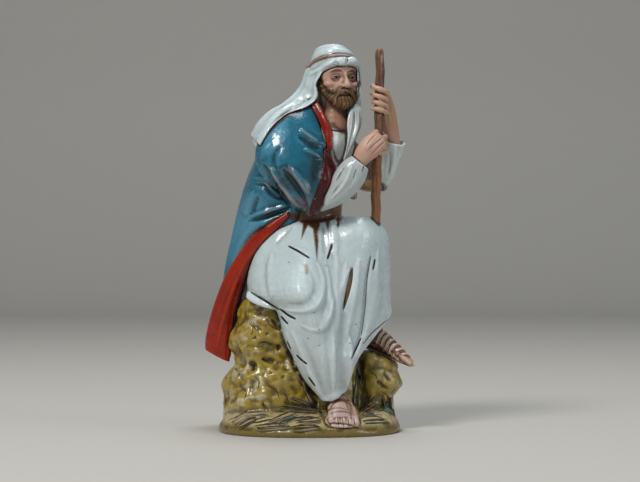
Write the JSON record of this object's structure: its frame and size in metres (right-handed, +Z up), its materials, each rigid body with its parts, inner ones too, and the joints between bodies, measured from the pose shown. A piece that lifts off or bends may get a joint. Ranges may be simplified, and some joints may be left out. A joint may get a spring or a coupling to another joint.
{
  "type": "presepe figure",
  "caption": "Moulded, painted crib figure: an old man in head-cloth and cloak, seated on a rock and holding an upright staff, on an oval grassy base that it stands on.",
  "frame": {"origin": "middle of the flat underside of the oval base", "axes": "+Z up, -Y towards the viewer of the figure's front, +X to the viewer's right"},
  "size_m": [0.0553, 0.048, 0.1],
  "materials": {
    "painted_plastic": "hand-painted plastic under a glossy varnish"
  },
  "bodies": {
    "root": {"seated_shepherd": "painted_plastic"}
  },
  "joints": []
}
